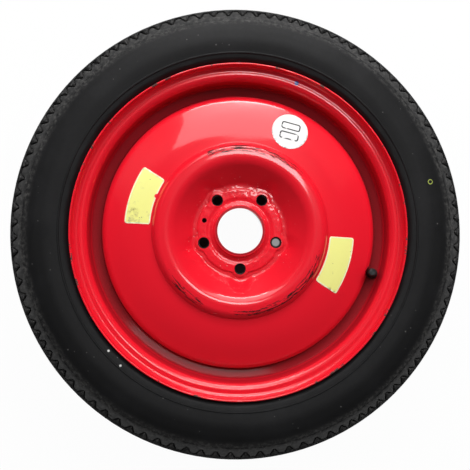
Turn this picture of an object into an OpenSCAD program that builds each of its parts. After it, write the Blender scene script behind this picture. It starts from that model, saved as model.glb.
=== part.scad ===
// Temporary-use spare wheel: a narrow tyre on a welded steel wheel with a rubber snap-in valve.
// The wheel lies flat. Its axis is Z, its outboard face looks along +Z and its centre is the origin.
// Every profile is drawn as radius and height in the XY plane and then turned about the axis.

/* [Tyre] */
// Diameter over the tread
tyre_d = 648; // [640:1:660]
// Section width of the inflated tyre
tyre_w = 137; // [134:1:142]
// Distance between the outer edges of the two shoulders
tread_w = 94; // [90:1:98]
// Thickness of tread and casing at the middle of the tyre
crown_t = 13.5; // [11:0.5:16]
// Thickness of the sidewall at its widest place
sidewall_t = 7; // [5.5:0.5:8]
// Drop of the tread's surface from its middle to its shoulder
shoulder_drop = 3.5; // [3:0.1:4.5]
// Width of the bead on its seat
bead_w = 17; // [15:0.5:18]
// Number of straight grooves round the tread
tread_grooves = 3; // [1:1:4]
// Width of a straight tread groove
tread_groove_w = 7; // [5:0.5:9]
// Depth of a straight tread groove
tread_groove_depth = 4.5; // [3:0.5:6]
// Height of the thin centring rib above the rim
rib_h = 0.8; // [0.5:0.1:1.5]

/* [Shoulder groove] */
// Width of the zigzag groove on each shoulder
zigzag_w = 2.4; // [2:0.1:3]
// Depth of the zigzag groove
zigzag_depth = 2.5; // [1.5:0.1:3.5]
// Distance of the teeth's feet inside the edge of the tread
tooth_foot = 4.7; // [4:0.1:6]
// Height of a tooth
tooth_h = 8.8; // [7:0.1:9.5]
// Gap between the feet of two teeth that are a short pitch apart
tooth_gap = 3; // [2.6:0.1:4]
// Width of a tooth at its tip
tooth_tip_w = 2.4; // [1.8:0.1:3]
// Smooth band between the tips of the teeth and the edge of the shoulder
shoulder_margin = 8; // [6:0.5:10]
// Length of a long pitch where a short one is 1
long_pitch = 1.29; // [1.2:0.01:1.35]

/* [Rim] */
// Diameter of the bead seats
seat_d = 436.6; // [434:0.1:438]
// Distance between the two bead faces
rim_w = 101.6; // [98:0.1:104]
// Height of the rim flange above the bead seat
flange_h = 17.3; // [16:0.1:18]
// Bend radius of the flange on its tyre side
flange_bend = 9.5; // [8.5:0.1:10.5]
// Reach of the flange lip beyond the bead face
lip_reach = 13; // [12:0.1:14]
// Sheet thickness of the rim
rim_t = 2.8; // [2.4:0.1:3.2]
// Width of a bead seat, from its bead face to the edge of the well
seat_w = 26; // [25:0.5:28]
// Bend radius between the flange and the bead seat
heel_bend = 6.5; // [5.5:0.1:7.5]
// Height of the safety hump above the seat beside it
hump_h = 1.2; // [0.8:0.1:1.6]
// Depth of the well below the bead seat
well_depth = 16; // [15.5:0.1:17]
// Slope of the well walls away from square to the axis
well_slope = 20; // [18:1:24]

/* [Disc] */
// Sheet thickness of the disc
disc_t = 4; // [3.5:0.1:4.5]
// Height of the mounting face above the wheel's centre plane
mount_z = 30; // [26:1:34]
// Diameter of the centre bore
bore_d = 65.1; // [60:0.1:67.5]
// Height of the collar round the bore above the mounting face
collar_h = 11; // [10:0.5:13]
// Diameter of the bolt circle
bolt_circle_d = 110; // [107:0.1:113]
// Number of bolts
bolt_count = 5; // [4:1:5]
// Diameter of a bolt hole
bolt_d = 13.2; // [12:0.1:14.5]
// Widest diameter of the conical bolt seat
bolt_seat_d = 16.6; // [15.5:0.1:17.5]
// Diameter of the locating pin hole
pin_d = 7; // [5:0.1:8]
// Angle of the locating pin hole
pin_angle = 163; // [158:1:167]
// Radius of the plateau that carries the bolts
plateau_r = 60; // [58:0.5:62]
// Height of the plateau above the channel round it
plateau_rise = 1.6; // [1.2:0.1:2]
// Radius at the foot of the bowl's wall
bowl_foot_r = 68; // [67:0.5:70]
// Radius at the top of the bowl's wall
bowl_rim_r = 99; // [97:0.5:102]
// Height of the crest ring above the mounting face
crest_h = 32.5; // [28:0.5:36]
// Radius of the crease where the crest ring meets the outer dish
crease_r = 123.5; // [122:0.5:126]
// Height of that crease above the mounting face
crease_h = 24; // [22:0.5:26]
// Slope of the outer dish beside the crease
inner_slope = 6; // [4:1:8]
// Slope of the outer dish beside its shoulder
outer_slope = 18; // [16:1:20]
// Bend radius of the disc's shoulder
shoulder_bend = 14; // [12:0.5:16]
// Depth of the disc's skirt in the well below the wheel's centre plane
skirt_depth = 8; // [4:0.5:12]

/* [Welds] */
// Number of weld beads between disc and rim
weld_count = 8; // [6:1:10]
// Share of the turn that the beads cover
weld_share = 0.6; // [0.4:0.05:0.8]
// Leg of a weld bead
weld_leg = 4; // [3:0.5:5]

/* [Valve] */
// Angle of the valve round the wheel
valve_angle = -18; // [-21:1:-15]
// Distance of the valve's axis inside the edge of the bead seat
valve_inset = 6.3; // [6:0.1:7]
// Diameter of the rim's valve hole
valve_hole_d = 11.3; // [11:0.1:12]
// Length of the valve above the rim
valve_length = 32; // [29:0.5:34]
// Length of bare thread above the rubber
thread_length = 10.5; // [9:0.5:12]
// Outer diameter of the metal stem
stem_d = 7.7; // [7.4:0.1:8]
// Air passage of the metal stem
stem_bore_d = 4.2; // [4:0.1:4.4]
// Outer diameter of the cap
cap_d = 10; // [9.6:0.1:10.6]
// Travel of the valve pin when it is pressed
pin_travel = 1.5; // [1:0.1:1.8]

/* [Labels] */
// Thickness of a label
label_t = 0.3; // [0.2:0.1:0.5]
// Inner radius of the yellow labels
label_in_r = 127; // [126:0.5:132]
// Outer radius of the yellow labels
label_out_r = 163.5; // [158:0.5:166]
// Angle that a yellow label spans
label_span = 30; // [24:1:34]
// Angle of the right label's middle round the wheel
label_angle = -19; // [-24:1:-14]
// Corner radius of the yellow labels
label_corner = 3.5; // [2:0.5:5]
// Diameter of the round label
round_label_d = 53; // [46:1:56]
// Distance of the round label's middle from the axis
round_label_r = 160; // [157:1:161]
// Angle of the round label round the wheel
round_label_angle = 63; // [55:1:80]

/* [Hidden] */
$fn = 144;
bend_step = 10;
bend_chord = 700;
slack = 1;

// Radii and heights that several pieces share
seat_r = seat_d / 2;
bead_z = rim_w / 2;
seat_mid_r = seat_r - rim_t / 2;
seat_drop = 1.5;
edge_mid_r = seat_mid_r - seat_drop - 0.9;
edge_z = bead_z - seat_w;
well_mid_r = seat_r - well_depth - rim_t / 2;
well_z = edge_z - (edge_mid_r - well_mid_r) * tan(well_slope);
skirt_r = well_mid_r - rim_t / 2;
flange_top_r = seat_r + flange_h;
channel_z = mount_z + disc_t;
plateau_z = channel_z + plateau_rise;
bore_r = bore_d / 2;
bolt_circle_r = bolt_circle_d / 2;
first_bolt = -90;

// Plane vectors and bent outlines

function unit(v) = v / norm(v);
function square_to(v) = [-v[1], v[0]];
function place(corner) = [corner[0], corner[1]];
function turn(a, b) = atan2(cross(a, b), a * b);

// Points of the arc at one corner, shifted by d to the left of the line that comes in along a
function arc_points(corner, a, b, d) =
    let (t = turn(a, b), s = sign(t), r = corner[2])
    let (centre = place(corner) - r * tan(abs(t) / 2) * a + s * r * square_to(a))
    let (first = atan2(a[1], a[0]), steps = ceil(max(abs(t) / bend_step, r * abs(t) / bend_chord)))
    [for (k = [0:steps])
        let (heading = first + t * k / steps)
        centre - s * (r - s * d) * square_to([cos(heading), sin(heading)])];

// One side of a bent sheet, d to the left of its middle line; each corner is [radius, height, bend]
function side(path, d) =
    let (last = len(path) - 1)
    [for (i = [0:last])
        let (p = place(path[i]))
        let (a = unit(i == 0 ? place(path[1]) - p : p - place(path[i - 1])))
        let (b = unit(i == last ? a : place(path[i + 1]) - p))
        each i == 0 || i == last ? [p + d * square_to(a)] : arc_points(path[i], a, b, d)];

// Closed outline with every corner rounded
// Here each corner is [radius, height, reach]: the arc begins and ends that far from the corner
function soft(corners) =
    let (n = len(corners))
    [for (i = [0:n - 1])
        let (p = place(corners[i]))
        let (a = unit(p - place(corners[(i + n - 1) % n])), b = unit(place(corners[(i + 1) % n]) - p))
        let (bend = corners[i][2] / tan(max(abs(turn(a, b)), 0.01) / 2))
        each corners[i][2] == 0 ? [p] : arc_points([p[0], p[1], bend], a, b, 0)];

function backwards(points) = [for (i = [len(points) - 1:-1:0]) points[i]];
function mirrored(corners) = [for (c = backwards(corners)) [c[0], -c[1], c[2]]];

// Points round the end of a sheet, from its left side to its right as seen along its heading
function nose(path, last, thickness) =
    let (p = place(path[last]), v = p - place(path[abs(last - 1)]), heading = atan2(v[1], v[0]))
    [for (k = [1:5]) p + thickness / 2 * [cos(heading + 90 - 30 * k), sin(heading + 90 - 30 * k)]];

module sheet(path, thickness) {
    polygon(concat(side(path, thickness / 2), backwards(side(path, -thickness / 2))));
}

module round_ended_sheet(path, thickness) {
    polygon(concat(
        side(path, thickness / 2), nose(path, len(path) - 1, thickness),
        backwards(side(path, -thickness / 2)), nose(path, 0, thickness)));
}

// Place on the well's outboard wall where the valve stands, with Z along the valve's axis
valve_r = edge_mid_r - valve_inset;
valve_z = well_z + (valve_r - well_mid_r) * tan(well_slope);

module at_valve() {
    rotate(valve_angle) translate([valve_r, 0, valve_z]) rotate([0, -well_slope, 0]) children();
}

// Rim: one rolled sheet, the same inboard and outboard

half_rim = [
    [flange_top_r - rim_t / 2 - 0.6, bead_z + lip_reach, 0],
    [flange_top_r - rim_t / 2, bead_z + rim_t / 2, flange_bend - rim_t / 2],
    [seat_mid_r, bead_z + rim_t / 2, heel_bend + rim_t / 2],
    [seat_mid_r - seat_drop, edge_z + 9, 14],
    [seat_mid_r - seat_drop + hump_h, edge_z + 4.5, 4],
    [edge_mid_r, edge_z, 5],
    [well_mid_r, well_z, 5],
];
rim_path = concat(half_rim, mirrored(half_rim));

module rim_profile() {
    round_ended_sheet(rim_path, rim_t);
}

module rim() {
    color("crimson")
    difference() {
        rotate_extrude() rim_profile();
        at_valve() cylinder(d = valve_hole_d, h = 3 * rim_t, center = true);
    }
}

// Disc: one pressed sheet, from the collar round the bore to the skirt in the well

plateau_mid_z = plateau_z - disc_t / 2;
channel_mid_z = channel_z - disc_t / 2;
crest_mid_z = mount_z + crest_h - disc_t / 2;
crest_end_r = crease_r - 6.5;
crease_mid_z = mount_z + crease_h - disc_t / 2;
collar_mid_r = bore_r + disc_t / 2;
skirt_mid_r = skirt_r - disc_t / 2;
dish_mid_r = (crease_r + skirt_r) / 2 - 4;
dish_bend = 180;
dish_mid_z = crease_mid_z - (dish_mid_r - crease_r) * tan(inner_slope);
shoulder_z = dish_mid_z - (skirt_mid_r - dish_mid_r) * tan(outer_slope);
channel_r = plateau_r + 2;
collar_bend = 5;
fold_bend = 3;
foot_bend = 8;
crest_bend = 9;
brow_bend = 7;
disc_path = [
    [collar_mid_r, mount_z + collar_h, 0],
    [collar_mid_r, plateau_mid_z, collar_bend],
    [plateau_r, plateau_mid_z, fold_bend],
    [channel_r, channel_mid_z, fold_bend],
    [bowl_foot_r, channel_mid_z, foot_bend],
    [bowl_rim_r, crest_mid_z, crest_bend],
    [crest_end_r, crest_mid_z, brow_bend],
    [crease_r, crease_mid_z, fold_bend],
    [dish_mid_r, dish_mid_z, dish_bend],
    [skirt_mid_r, shoulder_z, shoulder_bend],
    [skirt_mid_r, -skirt_depth, 0],
];
lobe_r = 17;
lobe_h = 18;
lobe_flare = 0.7;
pad_r = bolt_seat_d / 2 + 3.4;
pad_z = mount_z + plateau_rise + slack;
pin_circle_r = bolt_circle_r - 1.4;
relief_r = 9.5;
relief_h = 40;

// A turned outline whose seam lies between two bolts
module turned() {
    rotate(first_bolt + 180 / bolt_count) rotate_extrude() children();
}

// Everything behind a stretch of the disc's front surface, down to a low plane
module behind_disc(first, last, low) {
    stretch = [for (i = [first:last]) disc_path[i]];
    floor = [[stretch[last - first][0], low], [stretch[0][0], low]];
    turned() polygon(concat(side(stretch, disc_t / 2), floor));
}

module at_bolts() {
    for (i = [0:bolt_count - 1])
        rotate(first_bolt + i * 360 / bolt_count) translate([bolt_circle_r, 0, 0]) children();
}

// A round lobe of the bowl's floor, opening upwards
module lobe(r, z) {
    translate([0, 0, z]) cylinder(r1 = r, r2 = r + lobe_h * lobe_flare, h = lobe_h);
}

// One bolt hole with its conical seat, turned as a single cutter
module bolt_hole() {
    seat_h = (bolt_seat_d - bolt_d) / 2 / tan(30);
    foot = mount_z - slack;
    top = plateau_z + slack;
    rotate_extrude()
    polygon([
        [0, foot], [bolt_d / 2, foot], [bolt_d / 2, plateau_z - seat_h], [bolt_seat_d / 2, plateau_z],
        [bolt_seat_d / 2, top], [0, top],
    ]);
}

// The pressed sheet with the lobes of the bowl and the relief beside the valve
module pressed_sheet() {
    difference() {
        union() {
            turned() sheet(disc_path, disc_t);
            intersection() {
                behind_disc(3, 5, mount_z);
                at_bolts() lobe(lobe_r + disc_t / 2, mount_z - slack);
            }
            intersection() {
                behind_disc(8, 10, -skirt_depth);
                at_valve() translate([0, 0, -slack]) cylinder(r = relief_r + disc_t, h = relief_h);
            }
        }
        difference() {
            at_bolts() lobe(lobe_r, channel_z);
            cylinder(r = channel_r, h = 2 * mount_z);
        }
        at_valve() translate([0, 0, -slack]) cylinder(r = relief_r, h = relief_h + 2 * slack);
    }
}

module disc() {
    color("red")
    difference() {
        union() {
            pressed_sheet();
            at_bolts() translate([0, 0, pad_z]) cylinder(r = pad_r, h = plateau_z - pad_z);
        }
        at_bolts() bolt_hole();
        rotate(pin_angle) translate([pin_circle_r, 0, mount_z]) cylinder(d = pin_d, h = 2 * disc_t);
    }
}

// Welds: beads between the end of the skirt and the well, seen from inboard
module weld_beads() {
    run = 360 / weld_count;
    color("firebrick")
    for (i = [0:weld_count - 1])
        rotate(i * run) rotate_extrude(angle = run * weld_share)
        polygon([
            [skirt_r, -skirt_depth], [skirt_r - weld_leg * 0.9, -skirt_depth],
            [skirt_r - weld_leg * 0.65, -skirt_depth - weld_leg * 0.6], [skirt_r, -skirt_depth - weld_leg],
        ]);
}

// Tyre: the casing as one solid, seated on both bead seats and against both flanges

tread_r = tyre_d / 2;
side_z = tyre_w / 2;
shoulder_r = tread_r - shoulder_drop;
shoulder_z_out = tread_w / 2;
tip_r = shoulder_r - tooth_foot - tooth_h;
buttress_r = tip_r - shoulder_margin;
buttress_z = shoulder_z_out + 0.63 * (side_z - shoulder_z_out);
wall_h = buttress_r - flange_top_r;
upper_side_r = flange_top_r + 0.77 * wall_h;
belly_r = flange_top_r + 0.4 * wall_h;
clinch_r = flange_top_r + 0.087 * wall_h;
side_reach = 0.2 * wall_h;
belly_reach = 0.12 * wall_h;
rib_way = 0.13 * wall_h;
rib_w = 1.2;
bead_toe_z = bead_z - bead_w;
heel_z = bead_z + rim_t / 2;
tread_pitch = (tread_w - 6) / (tread_grooves + 1);

// Corners of a thin centring rib on the flank that falls from one corner to the next
function rib(from, to) =
    let (along = unit(place(to) - place(from)), out = -square_to(along), foot = place(to) - rib_way * along)
    [for (q = [[-1.2, 0], [-0.5, 1], [0.5, 1], [1.2, 0]])
        let (p = foot + q[0] * rib_w * along + q[1] * rib_h * out)
        [p[0], p[1], 0.02]];

belly = [belly_r, side_z, belly_reach];
clinch = [clinch_r, bead_z + lip_reach - 1.5, 0.045 * wall_h];
outer_half = [
    [tread_r, 0.47 * shoulder_z_out, 0.45 * shoulder_z_out],
    [shoulder_r, shoulder_z_out, 1.2],
    [buttress_r, buttress_z, 0.9],
    [buttress_r - 1.2, buttress_z + 0.2, 0.2],
    [upper_side_r, side_z, side_reach],
    belly,
    each rib(belly, clinch),
    clinch,
    [flange_top_r - rim_t / 2, heel_z, 0.2],
    [seat_mid_r, heel_z, heel_bend + rim_t / 2],
    [seat_mid_r - 1, bead_toe_z, 0],
];
inner_half = [
    [seat_r + 3, bead_toe_z - 1.5, 1],
    [flange_top_r + 4, bead_z - 4, 0.4],
    [belly_r, side_z - sidewall_t, belly_reach],
    [upper_side_r + 2, side_z - sidewall_t, 0.14 * wall_h],
    [tread_r - crown_t - 1, shoulder_z_out - 4, crown_t - 2],
];

module tyre_profile() {
    difference() {
        polygon(soft(concat(outer_half, inner_half, mirrored(inner_half), mirrored(outer_half))));
        rim_profile();
        for (i = [0:tread_grooves - 1])
            translate([tread_r, (i - (tread_grooves - 1) / 2) * tread_pitch])
            square([2 * tread_groove_depth, tread_groove_w], center = true);
    }
}

// Zigzag groove on the shoulder. Its teeth come in runs of long and short pitches round the wheel
pitch_runs = [[12, 1], [16, 0], [19, 1], [10, 0], [8, 1], [16, 0], [11, 1], [6, 0], [8, 1]];
first_tooth_angle = -110;
pitches = [for (run = pitch_runs) for (k = [1:run[0]]) run[1] == 1 ? long_pitch : 1];
pitch_angle = 360 / (pitches * [for (p = pitches) 1]);
tooth_angles = [
    for (i = 0, a = first_tooth_angle; i < len(pitches); a = a + pitches[i] * pitch_angle, i = i + 1)
        a + pitches[i] * pitch_angle / 2];
foot_r = shoulder_r - tooth_foot;
tooth_w = foot_r * pitch_angle * PI / 180 - tooth_gap;
flank_angle = atan(tooth_h / ((tooth_w - tooth_tip_w) / 2));

function polar(r, a) = [r * cos(a), r * sin(a)];
function arc_angle(length, r) = length / r * 180 / PI;

// The line of teeth all the way round, moved outwards by e
function zigzag(e) =
    let (k = e * tan(flank_angle / 2))
    let (foot = arc_angle(tooth_w / 2 - k, foot_r), tip = arc_angle(tooth_tip_w / 2 - k, tip_r))
    [for (a = tooth_angles) each [
        polar(foot_r + e, a - foot), polar(tip_r + e, a - tip),
        polar(tip_r + e, a + tip), polar(foot_r + e, a + foot)]];

// Skin of the shoulder between the tread's edge and the buttress, as deep as the groove
module shoulder_skin() {
    edge = [shoulder_r, shoulder_z_out];
    along = unit([buttress_r, buttress_z] - edge);
    inner = edge + zigzag_depth * square_to(along);
    outer = edge - 2 * zigzag_depth * square_to(along);
    way = (shoulder_r - buttress_r) / -along[0];
    rotate_extrude() polygon([inner, inner + way * along, outer + way * along, outer]);
}

module zigzag_groove() {
    intersection() {
        translate([0, 0, shoulder_z_out - 3 * zigzag_depth]) linear_extrude(side_z)
        difference() {
            polygon(zigzag(zigzag_w / 2));
            polygon(zigzag(-zigzag_w / 2));
        }
        shoulder_skin();
    }
}

module tyre() {
    color("dimgray")
    difference() {
        rotate_extrude() tyre_profile();
        for (m = [0, 1])
            mirror([0, 0, m]) zigzag_groove();
    }
}

// Valve, drawn along its own axis with zero height in the middle of the rim's sheet

wall_top = rim_t / 2;
tip_z = wall_top + valve_length;
rubber_top = tip_z - thread_length;
stem_r = stem_d / 2;
stem_foot_z = -wall_top - 7;
chamber_r = stem_bore_d / 2 + 0.5;
core_top = tip_z - 1.2;
core_h = 6;
core_foot = core_top - core_h;
chamber_foot = core_foot - 1.8;
gasket_t = 0.7;
valve_pin_r = 0.6;
guide_r = valve_pin_r + 0.05;
floor_t = 1.2;
spring_turns = 6;
spring_wire = 0.3;
spring_r = 1.05;
spring_foot = core_foot + floor_t;
collar_z = spring_foot + spring_turns * spring_wire + pin_travel + 0.6;
seal_gap = 0.05;
seal_top = core_foot - seal_gap;
seal_h = 0.8;
seal_r = 1.4;
cap_clearance = 0.06;
cap_foot = rubber_top + 0.5;
cap_seal_foot = tip_z + 0.1;
cap_seal_t = 0.8;
cap_inner_top = cap_seal_foot + cap_seal_t;
cap_top = cap_inner_top + 1.5;
cap_ribs = 16;

module valve_body() {
    hole_r = valve_hole_d / 2;
    color("black")
    difference() {
        at_valve() rotate_extrude()
        polygon([
            [stem_r, stem_foot_z], [hole_r + 0.4, stem_foot_z], [hole_r + 3.9, -wall_top - 3.5],
            [hole_r + 3.9, -wall_top], [hole_r, -wall_top], [hole_r, wall_top], [hole_r + 2.1, wall_top],
            [hole_r + 2.1, wall_top + 3], [hole_r + 1.3, wall_top + 5], [hole_r - 0.2, wall_top + 6.5],
            [hole_r - 0.8, rubber_top], [stem_r, rubber_top],
        ]);
        rim();
        cylinder(r = well_mid_r, h = 2 * well_z, center = true);
    }
}

module valve_stem() {
    color("goldenrod")
    at_valve() rotate_extrude()
    polygon([
        [stem_bore_d / 2, stem_foot_z], [stem_r, stem_foot_z], [stem_r, tip_z - 0.5], [stem_r - 0.5, tip_z],
        [chamber_r, tip_z], [chamber_r, chamber_foot], [stem_bore_d / 2, chamber_foot - 0.8],
    ]);
}

module core_barrel() {
    waist_r = chamber_r - gasket_t;
    hollow_r = valve_pin_r + 0.9;
    color("gold")
    at_valve() rotate_extrude()
    polygon([
        [guide_r, core_foot], [waist_r, core_foot], [waist_r, core_foot + 2], [chamber_r, core_foot + 2],
        [chamber_r, core_top], [hollow_r, core_top], [hollow_r, spring_foot], [guide_r, spring_foot],
    ]);
}

module core_gasket() {
    color("white")
    at_valve() rotate_extrude() translate([chamber_r - gasket_t, core_foot + 0.4]) square([gasket_t, 1.6]);
}

module core_pin() {
    pin_foot = core_foot - 2.4;
    pin_top = tip_z - 0.6;
    color("gold")
    at_valve() rotate_extrude()
    polygon([
        [0, pin_foot], [valve_pin_r, pin_foot], [valve_pin_r, collar_z], [1.3, collar_z],
        [1.3, collar_z + 0.5], [valve_pin_r, collar_z + 0.5], [valve_pin_r, pin_top], [0, pin_top],
    ]);
}

// Spring between the barrel's floor and the pin's collar: its turns drawn as level rings
module core_spring() {
    foot = spring_foot + seal_gap + spring_wire / 2;
    pitch = (collar_z - seal_gap - spring_wire / 2 - foot) / (spring_turns - 1);
    color("silver")
    at_valve() for (i = [0:spring_turns - 1])
        translate([0, 0, foot + i * pitch]) rotate_extrude() translate([spring_r, 0]) circle(d = spring_wire);
}

// Seal under the barrel and the cup that carries it, both fast on the pin
module core_seal() {
    color("black")
    at_valve() rotate_extrude()
    translate([valve_pin_r, seal_top - seal_h]) square([seal_r - valve_pin_r, seal_h]);
}

module core_cup() {
    cup_r = seal_r + 0.3;
    floor_z = seal_top - seal_h;
    color("gold")
    at_valve() rotate_extrude()
    polygon([
        [valve_pin_r, floor_z - 0.6], [cup_r, floor_z - 0.6], [cup_r, seal_top - 0.2],
        [seal_r, seal_top - 0.2], [seal_r, floor_z], [valve_pin_r, floor_z],
    ]);
}

module valve_cap() {
    color("black")
    at_valve() difference() {
        union() {
            translate([0, 0, cap_foot]) cylinder(d = cap_d, h = cap_top - cap_foot - 1);
            translate([0, 0, cap_top - 1]) cylinder(d1 = cap_d, d2 = cap_d - 2, h = 1);
        }
        translate([0, 0, rubber_top]) cylinder(r = stem_r + cap_clearance, h = cap_inner_top - rubber_top);
        for (i = [0:cap_ribs - 1])
            rotate(i * 360 / cap_ribs) translate([cap_d / 2 + 0.35, 0, rubber_top])
            cylinder(r = 0.8, h = cap_top - rubber_top - 2.5);
    }
}

module cap_seal() {
    color("dimgray")
    at_valve() translate([0, 0, cap_seal_foot]) cylinder(r = stem_r + cap_clearance, h = cap_seal_t);
}

// Labels: thin patches that follow the outer dish

label_margin = 2;

function fan(centre, r, from, to) = [for (k = [1:4]) centre + polar(r, from + (to - from) * k / 4)];

// Outline between two radii, half an angle to each side, with rounded corners
function patch(r0, r1, half, c) =
    let (far = half - asin(c / (r1 - c)), near = half - asin(c / (r0 + c)))
    concat(
        [for (k = [-6:6]) polar(r1, far * k / 6)],
        fan(polar(r1 - c, far), c, far, half + 90),
        fan(polar(r0 + c, near), c, half + 90, near + 180),
        [for (k = [5:-1:-6]) polar(r0, near * k / 6)],
        fan(polar(r0 + c, -near), c, 180 - near, 270 - half),
        fan(polar(r1 - c, -far), c, 270 - half, 360 - far));

module on_dish(half) {
    dish = [disc_path[7], disc_path[8], disc_path[9]];
    intersection() {
        rotate(-half) rotate_extrude(angle = 2 * half)
        polygon(concat(side(dish, disc_t / 2 + label_t), backwards(side(dish, disc_t / 2))));
        children();
    }
}

module label() {
    color("khaki")
    on_dish(label_span / 2 + label_margin)
    linear_extrude(2 * mount_z) polygon(patch(label_in_r, label_out_r, label_span / 2, label_corner));
}

module label_right() {
    rotate(label_angle) label();
}

module label_left() {
    rotate(label_angle + 180) label();
}

module round_label() {
    color("white")
    rotate(round_label_angle) on_dish(asin(round_label_d / 2 / round_label_r) + label_margin)
    translate([round_label_r, 0, 0]) cylinder(d = round_label_d, h = 2 * mount_z);
}

tyre();
rim();
disc();
weld_beads();
valve_body();
valve_stem();
core_barrel();
core_gasket();
core_pin();
core_spring();
core_cup();
core_seal();
valve_cap();
cap_seal();
label_left();
label_right();
round_label();
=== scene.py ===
"""Detailed pieces, finishes and studio for a narrow spare wheel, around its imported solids."""
import math

import bpy
import mathutils
import numpy as np
from bpy.props import FloatProperty, FloatVectorProperty, IntProperty, PointerProperty
from mathutils import Euler, Matrix, Vector


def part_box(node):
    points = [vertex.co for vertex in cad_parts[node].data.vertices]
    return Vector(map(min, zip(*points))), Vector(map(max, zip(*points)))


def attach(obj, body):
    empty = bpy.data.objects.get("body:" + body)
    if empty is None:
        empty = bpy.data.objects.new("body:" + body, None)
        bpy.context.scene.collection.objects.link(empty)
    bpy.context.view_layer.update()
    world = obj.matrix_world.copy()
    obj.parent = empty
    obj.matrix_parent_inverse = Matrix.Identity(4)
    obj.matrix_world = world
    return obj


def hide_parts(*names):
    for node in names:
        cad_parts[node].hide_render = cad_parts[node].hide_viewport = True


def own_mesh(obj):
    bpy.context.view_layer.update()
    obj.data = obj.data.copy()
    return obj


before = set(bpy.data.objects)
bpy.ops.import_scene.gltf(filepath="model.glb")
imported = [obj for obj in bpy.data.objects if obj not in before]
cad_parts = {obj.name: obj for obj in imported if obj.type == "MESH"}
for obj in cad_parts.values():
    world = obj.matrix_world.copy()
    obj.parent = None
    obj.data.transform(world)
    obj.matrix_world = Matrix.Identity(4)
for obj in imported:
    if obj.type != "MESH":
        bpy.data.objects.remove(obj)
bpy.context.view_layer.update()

bl_info = {
    "name": "Spare Wheel Dressing",
    "version": (1, 0, 0),
    "blender": (4, 5, 0),
    "location": "View3D > Sidebar > Spare Wheel",
    "description": "Adds the detailed pieces, finishes and studio of a narrow spare wheel",
    "category": "Mesh",
}

MM = 0.001
TYRE_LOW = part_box("tyre")[0]


class WheelSizes(bpy.types.PropertyGroup):
    """Sizes of the wheel's metal, in metres"""

    spin_steps: IntProperty(
        name="Spin Steps", description="Steps round the wheel's axis",
        default=320, min=64, max=512,
    )
    rim_sheet: FloatProperty(
        name="Rim Sheet", description="Thickness of the rim's sheet",
        default=2.8 * MM, unit="LENGTH",
    )
    disc_sheet: FloatProperty(
        name="Disc Sheet", description="Thickness of the disc's sheet",
        default=4 * MM, unit="LENGTH",
    )
    lobe_blend: FloatProperty(
        name="Lobe Blend", description="Softness of the pressed lobes in the bowl",
        default=4 * MM, unit="LENGTH",
    )
    lobe_radius: FloatProperty(
        name="Lobe Radius", description="Radius of a lobe round its bolt",
        default=16 * MM, unit="LENGTH",
    )


class WheelPaint(bpy.types.PropertyGroup):
    """Colours and wear of the painted metal and the rubber"""

    paint: FloatVectorProperty(
        name="Paint", description="Colour of the wheel's paint",
        subtype="COLOR", default=(0.84, 0.009, 0.024), min=0, max=1,
    )
    rubber: FloatVectorProperty(
        name="Rubber", description="Colour of the tyre",
        subtype="COLOR", default=(0.006, 0.006, 0.0065), min=0, max=1,
    )
    label: FloatVectorProperty(
        name="Label", description="Colour of the two large labels",
        subtype="COLOR", default=(0.93, 0.92, 0.27), min=0, max=1,
    )
    dust: FloatProperty(
        name="Dust", description="Amount of dust specks round the hub",
        default=0.5, min=0, max=1, subtype="FACTOR",
    )


class WheelStudio(bpy.types.PropertyGroup):
    """Light and camera of the studio"""

    key_power: FloatProperty(
        name="Key Power", description="Power of the large lamp beyond the picture's top",
        default=11, min=0, unit="POWER",
    )
    strip_power: FloatProperty(
        name="Strip Power", description="Power of the thin lamp under the key",
        default=12, min=0, unit="POWER",
    )
    side_power: FloatProperty(
        name="Side Power", description="Power of the lamp beyond the picture's top right",
        default=12, min=0, unit="POWER",
    )
    fill_power: FloatProperty(
        name="Fill Power", description="Power of the lamp beyond the picture's top left",
        default=7.5, min=0, unit="POWER",
    )
    crown_power: FloatProperty(
        name="Crown Power", description="Power of the high lamp that only mirrors in the paint",
        default=6, min=0, unit="POWER",
    )
    ambient: FloatProperty(
        name="Ambient", description="Strength of the even light from all sides",
        default=0.16, min=0,
    )
    lens: FloatProperty(
        name="Lens", description="Focal length of the camera in millimetres",
        default=32.29, min=10, max=200,
    )


def sizes():
    return bpy.context.scene.wheel_sizes


def polar(radius, degrees):
    return radius * math.cos(math.radians(degrees)), radius * math.sin(math.radians(degrees))


# Selection and edit mode


def only(obj):
    """Makes obj the one selected and active object."""
    bpy.ops.object.select_all(action="DESELECT")
    obj.select_set(True)
    bpy.context.view_layer.objects.active = obj
    return obj


def edit(obj, *steps):
    """Runs edit mode steps on the whole mesh of obj."""
    only(obj)
    bpy.ops.object.mode_set(mode="EDIT")
    bpy.ops.mesh.select_all(action="SELECT")
    for step in steps:
        step()
    bpy.ops.object.mode_set(mode="OBJECT")
    return obj


def apply_modifier(obj, kind, **values):
    only(obj)
    modifier = obj.modifiers.new(kind.title(), kind)
    for key, value in values.items():
        setattr(modifier, key, value)
    bpy.ops.object.modifier_apply(modifier=modifier.name)
    return obj


def smooth(obj, degrees):
    only(obj)
    bpy.ops.object.shade_smooth_by_angle(angle=math.radians(degrees))
    return obj


def finish_piece(obj, body, material, slot, *nodes):
    """Gives a piece its finish, its body and the solids that it stands for."""
    obj.data.materials.clear()
    obj.data.materials.append(material)
    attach(obj, body)
    if nodes:
        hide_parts(*nodes)
    return obj


def points_of(obj):
    flat = np.empty(len(obj.data.vertices) * 3)
    obj.data.vertices.foreach_get("co", flat)
    return flat.reshape(-1, 3)


def put_points(obj, points):
    obj.data.vertices.foreach_set("co", points.ravel())
    obj.data.update()


# Bent profiles in radius and height


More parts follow.
